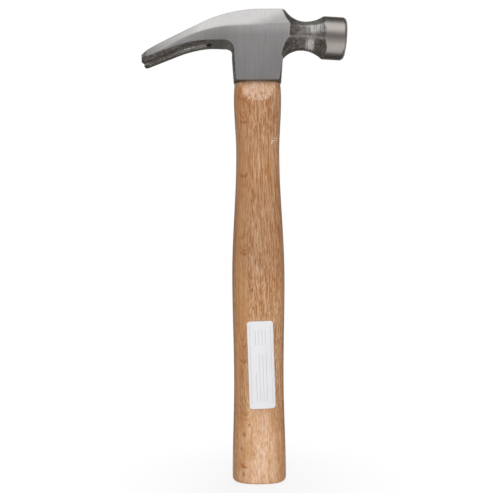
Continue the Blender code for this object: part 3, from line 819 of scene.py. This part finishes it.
# Ring arcs that show as single strokes: lowest point, half width, rise, power, half thickness
STROKES = (
    (-10.8, 275.1, 2.8, 1.6, 2.0, 0.45),
    (-10.1, 262.1, 3.7, 4.8, 1.6, 0.35),
    (-10.1, 258.0, 2.3, 1.6, 2.0, 0.5),
    (-10.2, 220.0, 2.7, 2.0, 2.0, 0.6),
    (-10.3, 164.7, 2.7, 1.6, 2.0, 0.55),
    (-10.0, 167.3, 4.4, 13.0, 4.0, 0.35),
    (-10.7, 98.2, 1.6, 1.5, 2.0, 0.9),
    (-11.0, 87.1, 2.7, 2.9, 2.0, 0.5),
    (-11.7, 102.6, 3.3, 12.0, 1.5, 0.4),
    (-9.7, 50.0, 3.1, 2.2, 2.0, 0.6),
    (-9.9, 46.3, 2.6, 1.5, 2.0, 0.45),
)
STROKE_OUTSIDE = 0.8
STROKE_INSIDE = 0.2
STROKE_ENDS = (1.2, 0.9)


def spot(n, axes, oval):
    """One where a point of the front lies inside an oval, fading out over its rim."""
    middle, height, half_across, half_along = oval
    across = n.math("DIVIDE", n.minus(axes[0], middle), half_across)
    along = n.math("DIVIDE", n.minus(axes[2], height), half_along)
    away = n.math("ADD", n.times(across, across), n.times(along, along))
    front = n.math("LESS_THAN", axes[1], 0.0)
    return n.times(n.ramp(away, 1.0 + MARK_SOFT, 1.0 - MARK_SOFT), front)


def stroke(n, axes, sizes, wobble):
    """One along a bowed line on the front, fading out at its sides and ends."""
    middle, lowest, half, rise, power, thick = sizes
    across = n.size(n.math("DIVIDE", n.minus(axes[0], middle), half))
    line = n.math("MULTIPLY_ADD", n.math("POWER", across, power), rise, lowest)
    away = n.size(n.minus(n.math("ADD", axes[2], wobble), line))
    front = n.math("LESS_THAN", axes[1], 0.0)
    return n.times(n.ramp(away, thick + STROKE_OUTSIDE, thick - STROKE_INSIDE),
                   n.ramp(across, *STROKE_ENDS), front)


def tone(colour, level):
    return tuple(part * level for part in colour)


def beech(name, level, on_handle):
    """Beech at a tone, with the marks of the handle where it is asked for."""
    made, n = new_material(name)
    place = place_in_mm(n)
    axes = n.axes(place)
    leaning = n.stretch(place, (1.0, 1.0, 1.0), turn=(0.0, 0.03, 0.0))
    wander = n.grain(place, (0.06, 0.06, 0.016), detail=2.0, rough=0.5)
    fibre = n.grain(leaning, (1.05, 1.05, 0.024), detail=4.0, rough=0.62, distortion=0.35)
    hair = n.grain(leaning, (2.3, 2.3, 0.085), distortion=0.25)
    curly = n.grain(leaning, (2.3, 2.3, 0.27), (1.0, 2.0, 3.0), distortion=0.25)
    hair = n.between(n.ramp(axes[2], 195.0, 150.0, 0.0, 0.75), hair, curly)
    strands = n.weigh(fibre, 0.3, hair, 0.7)
    colour = n.blend(n.ramp(strands, 0.44, 0.55), tone(WOOD_DARK, level), tone(WOOD_PALE, level))
    colour = n.blend(n.ramp(wander, 0.35, 0.68, 0.0, 0.35), colour, tone(WOOD_WANDER, level))
    flecks = n.grain(leaning, (1.15, 1.15, 0.27), detail=2.0, rough=0.55, distortion=0.4)
    colour = n.blend(n.ramp(flecks, 0.56, 0.65, 0.0, 0.45), colour, tone(WOOD_FLECK, level))
    pores = n.grain(leaning, (2.0, 2.0, 0.45), (7.0, 3.0, 1.0), detail=2.0)
    colour = n.blend(n.ramp(pores, 0.59, 0.67, 0.0, 0.2), colour, tone(WOOD_PORE, level))
    veins = n.grain(leaning, (0.42, 0.42, 0.02), (9.0, 4.0, 6.0), rough=0.55, distortion=0.6)
    veins = n.ramp(n.size(n.minus(veins, 0.5)), 0.035, 0.0, 0.0, 0.5)
    colour = n.blend(veins, colour, tone(WOOD_VEIN, level))
    if on_handle:
        colour = ring_marks(n, place, axes, colour, strands, wander)
        colour = paler_butt_and_tongue(n, place, axes, colour, strands, wander)
        # painted shade: the sides of the handle darker
        colour = n.blend(n.times(painted(n, "rim"), 0.4), colour, RIM_PAINTED_SHADE)
        for marks, share, ink in MARKS:
            for oval in marks:
                colour = n.blend(n.times(spot(n, axes, oval), share), colour, ink)
    grain = n.minus(n.times(strands, 0.7), n.times(flecks, 0.4))
    shade(n, {"Base Color": colour, "Roughness": n.ramp(strands, 0.3, 0.7, 0.5, 0.38),
              "Specular IOR Level": 0.4, "Normal": n.bump(grain, 0.35, 0.00028)})
    return made


def ring_marks(n, place, axes, colour, strands, wander):
    """Golden side, ring arcs and strokes of the handle, and the slow change of tone along it."""
    across, _, along = axes
    bands = n.grain(place, (0.3, 0.3, 0.008), detail=2.0, rough=0.5, distortion=0.4)
    golden = n.blend(n.ramp(bands, 0.4, 0.6), GOLDEN_DARK, GOLDEN_PALE)
    smooth = n.times(n.ramp(across, -4.0, -10.0), n.ramp(wander, 0.4, 0.55, 0.3, 0.65))
    colour = n.blend(smooth, colour, golden)

    jitter = n.grain(place, (0.35, 0.35, 0.22))
    bow = n.size(n.math("ADD", across, n.ramp(wander, 0.0, 1.0, 6.0, 15.0)))
    bow = n.times(n.math("POWER", bow, 1.6), 0.42)
    phase = n.minus(n.times(along, 0.85), bow)
    phase = n.math("ADD", phase, n.weigh(wander, 12.0, jitter, 4.5))
    arcs = n.math("ADD", n.math("SINE", phase), n.times(strands, 1.6))
    arcs = n.times(n.ramp(arcs, 1.15, 1.75), n.ramp(jitter, 0.38, 0.55, 0.25, 1.0))
    for oval in ARC_PLACES:
        colour = n.blend(n.times(arcs, spot(n, axes, oval), 0.4), colour, ARC_INK)
    wobble = n.ramp(jitter, 0.3, 0.7, -0.9, 0.9)
    for sizes in STROKES:
        share = n.times(stroke(n, axes, sizes, wobble), n.ramp(strands, 0.42, 0.58, 0.85, 0.5))
        colour = n.blend(share, colour, STROKE_INK)

    busy = n.grain(place, (0.95, 0.95, 0.11), (3.0, 6.0, 2.0), distortion=0.5)
    busy = n.times(n.ramp(busy, 0.54, 0.64), n.ramp(along, 222.0, 258.0, 0.0, 0.75))
    colour = n.blend(busy, colour, WOOD_BUSY)
    deeper = n.times(n.ramp(along, 145.0, 165.0), n.ramp(along, 220.0, 200.0))
    colour = n.blend(deeper, colour, DEEPER_TINT, "MULTIPLY")
    lighter = n.times(n.ramp(along, 155.0, 135.0), n.ramp(along, 30.0, 55.0))
    return n.blend(lighter, colour, LIGHTER_TINT, "MULTIPLY")


def paler_butt_and_tongue(n, place, axes, colour, strands, wander):
    """Paler wood towards the butt, partly painted light that makes up for the lamps' fall-off there, and on
    the shaved tongue.
    """
    across, _, along = axes
    aside = n.size(across)
    low = n.math("ADD", along, n.ramp(wander, 0.0, 1.0, -14.0, 14.0))
    # paler towards the butt: partly painted light against the lamps' fall-off
    pale = n.ramp(low, 70.0, 30.0, smooth=True)
    pale = n.math("SUBTRACT", pale, n.ramp(aside, 7.0, 18.0, 0.0, 0.7), clamp=True)
    flat = painted(n, "shaved")
    ragged = n.math("ADD", flat, n.ramp(strands, 0.38, 0.62, -0.6, 0.6))
    shaved = n.times(n.ramp(ragged, 0.1, 0.7, 0.0, 0.9), n.ramp(flat, 0.0, 0.12))
    pale = n.math("MAXIMUM", pale, shaved)

    patches = n.grain(place, (0.22, 0.22, 0.06), (1.0, 5.0, 2.0), detail=4.0)
    patches = n.minus(patches, n.ramp(aside, 4.0, 17.0, -0.06, 0.16))
    lightened = n.blend(n.ramp(patches, 0.36, 0.62), PALER_DARK, PALER_PALE)
    colour = n.blend(n.times(pale, 0.36), colour, lightened)
    colour = n.blend(pale, colour, PALER_LIGHT_TINT, "MULTIPLY")
    colour = n.blend(shaved, colour, SHAVED_TINT, "MULTIPLY")
    short = n.grain(place, (1.6, 1.6, 0.26), (2.0, 8.0, 4.0))
    colour = n.blend(n.times(pale, n.ramp(short, 0.53, 0.61, 0.0, 0.65)), colour, PALER_FLECK)
    torn = n.grain(place, (1.5, 1.5, 0.36), (5.0, 1.0, 7.0))
    return n.blend(n.times(flat, n.ramp(torn, 0.52, 0.6, 0.0, 0.55)), colour, SHAVED_FLECK)


# Paper

PAPER_SHADE = (0.8, 0.8, 0.825)
PAPER_WHITE = (0.88, 0.88, 0.9)
PAPER_SMUDGE = (0.72, 0.71, 0.715)
RULE_INK = (0.19, 0.19, 0.21)


def label_paper():
    """White paper with fibres, a faint smudge and thin ruled lines."""
    made, n = new_material("label_paper_bare")
    place = place_in_mm(n)
    fibres = n.grain(place, (3.0, 3.0, 3.0), detail=4.0)
    smudge = n.grain(place, (0.12, 0.12, 0.08), rough=0.5)
    colour = n.blend(n.ramp(fibres, 0.3, 0.7), PAPER_SHADE, PAPER_WHITE)
    colour = n.blend(n.ramp(smudge, 0.5, 0.75, 0.0, 0.25), colour, PAPER_SMUDGE)
    across, along = painted(n, "across"), painted(n, "along")
    for lines, low, high, half, ink in RULED_LINES:
        middle, reach = (low + high) / 2, (high - low) / 2
        past = n.size(n.minus(along, middle))
        inside = n.ramp(past, reach + RULE_END, reach - RULE_END)
        for line in lines:
            beside = n.size(n.minus(across, line))
            near = n.ramp(beside, half + RULE_EDGE, half - RULE_EDGE)
            colour = n.blend(n.times(near, inside, ink), colour, RULE_INK)
    shade(n, {"Base Color": colour, "Roughness": n.ramp(fibres, 0.3, 0.7, 0.42, 0.5),
              "Specular IOR Level": 0.4, "Normal": n.bump(fibres, 0.15, 0.00006)})
    return made


# Finish: each fade runs between two places in millimetres or two shares

BELL_DULL_AND_SHADE = 0.36
BELL_CLEAR = 0.2
EYE_RIM = 0.4
SLOT_RIM = 0.1
CROTCH_RIM = 0.15
UPPER_RIDGE = 0.22
LOWER_RIDGE = 0.45
# painted highlight patches on the neck, with some wear
FRONT_WEAR_AND_HIGHLIGHT = ((42.5, 7.0), (3.5, 3.3))  # middle and half size along x, then upwards
LOWER_WEAR_AND_HIGHLIGHT = ((38.0, 3.0), (-7.2, 3.6))
GROOVE_EDGES = ((SLOT_GROOVE, 0.45), (0.2, 0.4))  # place and width of each edge
GROOVE_TOP = 2.2


def peak(value, width):
    return np.exp(-(value / width) ** 2)


def patch(x, up, sizes):
    """One inside a rounded box, with soft sides."""
    (middle_x, half_x), (middle_up, half_up) = sizes
    return np.exp(-(((x - middle_x) / half_x) ** 4 + ((up - middle_up) / half_up) ** 4))


def bare_tips(x, y, rise):
    """Ground corners of the tines, which carry no scale."""
    inner_end = TIP_INNER_CORNER[0] - CLAW_REACH
    inner = fade(np.abs(inner_corner(x, y)), 0.6, 0.0) * fade(x, inner_end, inner_end - 0.8)
    outer = fade(np.abs(outer_corner(x, y)), 1.0, 0.0)
    outer = outer * fade(rise, TIP_EDGE_BEVEL - 0.9, TIP_EDGE_BEVEL + 0.3)
    return np.maximum(inner * fade(rise, 1.4, 2.2), outer)


def ground_dull_and_shade(x, z):
    """Dullness and painted shade of the cheeks and of the facets above the crease."""
    above = z - crease_height(x)
    high = fade(z, 14.0, 32.0)
    bend = fade(x, -12.0, -25.0) * fade(x, -50.0, -36.0)
    cheek = 0.2 + 0.14 * high + 0.25 * bend
    claw = fade(x, -42.0, -70.0) ** 0.6
    tip = fade(x, -70.0, -82.0)
    neck = fade(x - 2.6 * np.maximum(above - 2.0, 0.0), -7.0, 10.0)
    facet = 0.5 * claw + 0.2 * tip + 0.48 * neck
    return mix(facet, cheek, fade(above, 0.5, -0.5))


def slot_flecks_and_glints(x, y, rise):
    """Painted glints, with wear flecks, along both edges of the slot's bevel."""
    groove = y - slot_half(x)
    edges = sum(peak(groove - place, width) for place, width in GROOVE_EDGES)
    run = fade(x, SLOT_CROTCH - 2.0, SLOT_CROTCH - 3.0) * fade(x, -62.0, -52.0)
    return edges * (rise < GROOVE_TOP) * run


def paint_head(head, points, normals):
    """Finish of the head at each point, from 0 to 1, with its painted shade, highlights and glints."""
    x, y, z = points[:, 0], np.abs(points[:, 1]), points[:, 2] - EYE_BOTTOM
    reach, up = poll_place(x, z)
    rise = z - rail(x, UNDERSIDE)[0]
    on_neck = fade(neck_limit(x, y, z), -0.84, 0.36) * (reach > 12.0) * (reach < 54.0)
    on_low = fade(forged_faces(x, y, z) - ground_faces(x, y, z), -0.9, 0.9) * (bell(x, y, z) > BELL_CLEAR)
    cuts = [eye(x, y, z) - EYE_RIM, nail_slot(x, y, z) - SLOT_RIM, slot_groove(x, y, z) - SLOT_RIM]
    inner = fade(np.min(cuts, axis=0), 0.6, -0.6)
    sunk = crotch_sink(x, y, z) < CROTCH_RIM
    forged = np.max([on_neck, on_low, inner, sunk], axis=0) * (1.0 - bare_tips(x, y, rise))
    on_bell = reach > NECK_WAIST
    paint(head, "polish", 1.0 - forged)
    paint(head, "bell", on_bell)
    # dullness with painted shade
    paint(head, "dull_and_shade", np.where(on_bell, BELL_DULL_AND_SHADE, ground_dull_and_shade(x, z)) * (1.0 - forged))

    front, _, upper, lower = neck_flats(x, y, z)
    # Bright places of the neck: the two patches are painted highlights, the ridges and upper flat partly
    # wear, partly painted highlight
    upper_ridge = peak(front - upper, UPPER_RIDGE) * fade(x, 26.0, 34.0) * on_neck
    upper_flat = (upper > front) * on_neck * fade(x, 24.0, 30.0)
    lower_ridge = peak(front - lower, LOWER_RIDGE) * on_neck
    lower_wear_and_highlight = patch(x, up, LOWER_WEAR_AND_HIGHLIGHT)
    wear_and_highlight = 0.95 * patch(x, up, FRONT_WEAR_AND_HIGHLIGHT) + 1.2 * lower_wear_and_highlight + 0.6 * upper_ridge + 0.35 * upper_flat
    # flecks on the slot's edges and the neck's ridges: partly wear, partly painted glints
    flecks = slot_flecks_and_glints(x, y, rise) + 0.9 * lower_ridge + 0.5 * upper_ridge
    paint(head, "wear_and_highlight", np.clip(wear_and_highlight, 0.0, 1.0))
    paint(head, "fleck_and_glint", np.clip(flecks, 0.0, 1.0))

    # Painted shade on the forged steel: in the crotch recess, on the socket ends, the tips and the claw's
    # bevel, beside the cheek and the bell and under the neck, broken up by the scale in the material
    facing_end, facing_down = np.abs(normals[:, 0]), -normals[:, 2]
    crotch = sunk * fade(rise, -0.24, 0.36)
    ends = 0.75 * fade(facing_end, 0.55, 0.9) * fade(z, 27.0, 21.0) * on_low
    tips = 0.55 * fade(x, 5.0 - CLAW_REACH, 3.0 - CLAW_REACH) * on_low
    bevel = 0.5 * fade(x, -32.0, -42.0) * on_low * (facing_down < 0.93) * (y > 6.0)
    near_bell = 0.6 * fade(reach, 43.0, 47.0) * on_neck
    near_cheek = 0.6 * fade(reach, 33.0, 24.0) * on_neck
    below = 0.62 * fade(up, -3.0, -5.0) * (1.0 - lower_wear_and_highlight) * on_neck
    soot_and_shade = np.max([crotch, ends, tips, bevel, near_bell, near_cheek, below], axis=0)
    paint(head, "soot_and_shade", np.clip(soot_and_shade, 0.0, 1.0))


def paint_handle(handle, points):
    """Shaved tongue, which spreads below the head, and painted shade on the rims of the handle."""
    x, y, z = points[:, 0], points[:, 1], points[:, 2]
    aside = np.abs(x) / handle_size(z)[0]
    tongue_end = SHOULDER - TONGUE_LENGTH
    spread = 0.9 * fade(z, SHOULDER - 9.0, SHOULDER) ** 2 * fade(aside, 0.94, 0.82)
    shaved = fade(spread - handle_oval(x, y, z), 0.02, 0.92)
    shaved = shaved * mix(0.42, 1.0, fade(z, tongue_end, tongue_end + 8.0))
    paint(handle, "shaved", shaved * (z > tongue_end - 2.0))
    # painted shade, growing towards the sides of the handle
    paint(handle, "rim", fade(aside, 0.78, 1.0) ** 1.5)


# Pieces

def coat(piece, material):
    piece.data.materials.clear()
    piece.data.materials.append(material)


def dress(piece, material, node):
    coat(piece, material)
    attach(piece, "root")
    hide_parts(node)


def make_head():
    low = (-CLAW_REACH - GRID_MARGIN, -BELL_RADIUS - GRID_MARGIN, EYE_BOTTOM - GRID_MARGIN)
    high = (FACE_REACH + FACE_MARGIN, BELL_RADIUS + GRID_MARGIN, CROWN + GRID_MARGIN)
    head, points, normals = skin_object("hammer_head", head_field, low, high, HEAD_GRID)
    paint_head(head, points, normals)
    dress(head, head_steel(), "head")


def make_handle():
    half_x, half_y = HANDLE_BOX_HALF
    low = (-half_x, -half_y, -GRID_MARGIN)
    high = (half_x, half_y, CROWN + GRID_MARGIN)
    handle, points, _ = skin_object("hammer_handle", handle_field, low, high, HANDLE_GRID)
    paint_handle(handle, points)
    dress(handle, beech("handle_beech", 1.0, True), "handle")


def label_half(along):
    """Half width of the label at a place along it, less at its round corners."""
    width, height = LABEL_SIZE
    inset = max(0.0, abs(along) - (height / 2 - LABEL_CORNER))
    return width / 2 - LABEL_CORNER + math.sqrt(max(LABEL_CORNER ** 2 - inset ** 2, 0.0))


def label_point(across, along):
    """Point in metres on the label's underside, which follows the front of the handle."""
    x = LABEL_CENTRE[0] + across * math.cos(LABEL_TILT) - along * math.sin(LABEL_TILT)
    z = LABEL_CENTRE[1] + across * math.sin(LABEL_TILT) + along * math.cos(LABEL_TILT)
    half_x, half_y = (float(half) for half in handle_size(np.array(z)))
    share = min(1.0, abs(x) / half_x)
    y = -half_y * (1.0 - share ** SQUARENESS) ** (1.0 / SQUARENESS)
    return x * MM, (y - LABEL_LIFT) * MM, z * MM


def make_label():
    row = LABEL_COLUMNS + 1
    places = []
    for j in range(LABEL_ROWS + 1):
        along = LABEL_SIZE[1] * (j / LABEL_ROWS - 0.5)
        half = label_half(along)
        places.extend((mix(-half, half, i / LABEL_COLUMNS), along) for i in range(row))
    faces = []
    for low, i in itertools.product(range(0, LABEL_ROWS * row, row), range(LABEL_COLUMNS)):
        faces.append((low + i, low + i + 1, low + row + i + 1, low + row + i))
    mesh = bpy.data.meshes.new("hammer_label")
    mesh.from_pydata([label_point(*place) for place in places], [], faces)
    mesh.shade_smooth()
    label = new_object("hammer_label", mesh)
    paint(label, "across", [across for across, _ in places])
    paint(label, "along", [along for _, along in places])
    sheet = label.modifiers.new("paper", "SOLIDIFY")
    sheet.thickness = LABEL_PAPER * MM
    sheet.offset = 1.0
    dress(label, label_paper(), "label")


def dress_wedges():
    steel = wedge_steel()
    wood = beech("wedge_wood", WEDGE_TONE, False)
    for name, material in (("wood_wedge", wood), ("steel_wedge_front", steel), ("steel_wedge_rear", steel)):
        coat(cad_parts[name], material)


# Studio, in metres

# Area lamps: name, place, height they aim at, size, watts
LAMPS = (
    ("key_softbox", (0.0, -0.95, 0.98), 0.25, (0.8, 0.9), 7.2),
    ("front_fill", (0.0, -1.1, 0.24), 0.26, (0.5, 0.3), 1.5),
    ("low_fill", (0.0, -0.9, 0.12), 0.05, (0.5, 0.2), 1.0),
    ("back_fill", (0.3, 1.4, 0.9), 0.2, (1.2, 0.8), 10.0),
    ("right_fill", (1.05, 0.85, 0.6), 0.2, (0.7, 0.7), 3.2),
    ("left_fill", (-1.05, 0.85, 0.6), 0.2, (0.7, 0.7), 3.2),
)

# Colours of the cards that only reflections see
CARD_COLOURS = {
    "dark": (0.202, 0.188, 0.197),
    "grey": (0.36, 0.35, 0.34),
    "black": (0.07, 0.068, 0.065),
    "pale": (0.75, 0.74, 0.73),
}

# Cards: name, colour, two opposite corners
CARDS = (
    ("front_gap", "dark", (-0.9, -0.62, 0.0), (0.9, -0.62, 0.565)),
    ("front_strip", "pale", (-0.9, -0.61, 0.04), (0.9, -0.61, 0.12)),
    ("front_floor", "dark", (-0.9, -0.62, 0.01), (0.9, -0.48, 0.01)),
    ("back_top", "black", (-1.2, -0.2, 1.2), (1.2, 1.0, 1.2)),
    ("back_wall", "grey", (-1.6, 1.0, 0.0), (1.6, 1.0, 0.6)),
    ("left_wall", "grey", (-0.9, -0.6, 0.1), (-0.9, 0.7, 0.9)),
    ("right_wall", "dark", (0.9, -0.6, 0.1), (0.9, 0.7, 0.9)),
    ("back_low", "black", (-0.7, 0.03, 0.012), (0.7, 0.9, 0.012)),
)

FLOOR_HALF = 6.0
FLOOR_COLOUR = (0.9, 0.9, 0.9)
FLOOR_IN_METAL = 0.8  # brightness of the floor in reflections
FLOOR_SHADOW = (0.02, 0.12)  # the shadow fades out between these distances
FLOOR_SHADOW_SHARE = 0.82
WHITE = (1.0, 1.0, 1.0)
WORLD_LIGHT = 0.22

# The photograph's camera, in millimetres, pixels and radians
CAMERA_DISTANCE = 535.0
CAMERA_ASIDE = -8.53
CAMERA_HEIGHT = 170.0
CAMERA_ROLL = 0.0049
SENSOR_WIDTH = 36.0
PHOTO_PIXELS = 493.0
PIXEL_SIZE = 0.729


def rectangle(name, low, high):
    """Flat sheet between two opposite corners."""
    first, second = (axis for axis in range(3) if low[axis] != high[axis])
    corners = [list(low), list(low), list(high), list(low)]
    corners[1][first] = high[first]
    corners[3][second] = high[second]
    mesh = bpy.data.meshes.new(name)
    mesh.from_pydata(corners, [], [(0, 1, 2, 3)])
    return new_object(name, mesh)


def make_cards():
    materials = {}
    for name, colour in CARD_COLOURS.items():
        materials[name], n = new_material(name + "_card")
        n.finish(n.emission(colour, 1.0))
    for name, colour, low, high in CARDS:
        card = rectangle(name, low, high)
        card.data.materials.append(materials[colour])
        card.visible_camera = False
        card.visible_diffuse = False
        card.visible_shadow = False


def seen_rays(n):
    """One for camera, glossy and transmission rays, then one for glossy rays alone."""
    path = n.add("LightPath").outputs
    mirrored = n.math("MAXIMUM", path["Is Glossy Ray"], path["Is Transmission Ray"])
    return n.math("MAXIMUM", path["Is Camera Ray"], mirrored), path["Is Glossy Ray"]


def make_floor():
    """White floor that keeps the shadow close to the hammer."""
    floor = rectangle("floor", (-FLOOR_HALF, -FLOOR_HALF, 0.0), (FLOOR_HALF, FLOOR_HALF, 0.0))
    made, n = new_material("pale_floor")
    diffuse = n.add("BsdfDiffuse", {"Color": opaque(FLOOR_COLOUR)}).outputs[0]
    seen, glossy = seen_rays(n)
    white = n.emission(WHITE, n.ramp(glossy, 0.0, 1.0, 1.0, FLOOR_IN_METAL))
    coordinates = n.add("TexCoord").outputs["Object"]
    away = n.add("VectorMath", {0: coordinates}, operation="LENGTH").outputs["Value"]
    share = n.times(seen, n.ramp(away, *FLOOR_SHADOW, FLOOR_SHADOW_SHARE, 1.0, smooth=True))
    n.finish(n.add("MixShader", {0: share, 1: diffuse, 2: white}).outputs[0])
    floor.data.materials.append(made)


def make_world():
    world = bpy.data.worlds.new("studio")
    bpy.context.scene.world = world
    world.use_nodes = True
    n = Nodes(world.node_tree)
    seen, _ = seen_rays(n)
    strength = n.ramp(seen, 0.0, 1.0, WORLD_LIGHT, 1.0)
    background = n.add("Background", {"Color": opaque(WHITE), "Strength": strength})
    n.finish(background.outputs[0], "OutputWorld")


def make_lamps():
    for name, place, aim, size, watts in LAMPS:
        data = bpy.data.lights.new(name, "AREA")
        data.shape = "RECTANGLE"
        data.size, data.size_y = size
        data.energy = watts
        lamp = new_object(name, data)
        lamp.location = place
        lamp.visible_glossy = False
        lamp.rotation_euler = (Vector((0.0, 0.0, aim)) - Vector(place)).to_track_quat("-Z", "Y").to_euler()


def make_camera():
    data = bpy.data.cameras.new("photo_view")
    data.sensor_width = SENSOR_WIDTH
    data.lens = SENSOR_WIDTH * (CAMERA_DISTANCE / PIXEL_SIZE) / PHOTO_PIXELS
    camera = new_object("photo_view", data)
    camera.location = (CAMERA_ASIDE * MM, -CAMERA_DISTANCE * MM, CAMERA_HEIGHT * MM)
    camera.rotation_euler = (math.pi / 2, CAMERA_ROLL, 0.0)
    bpy.context.scene.camera = camera


make_camera()
make_world()
make_floor()
make_lamps()
make_cards()
make_head()
make_handle()
make_label()
dress_wedges()
bpy.context.scene.view_settings.view_transform = "Standard"
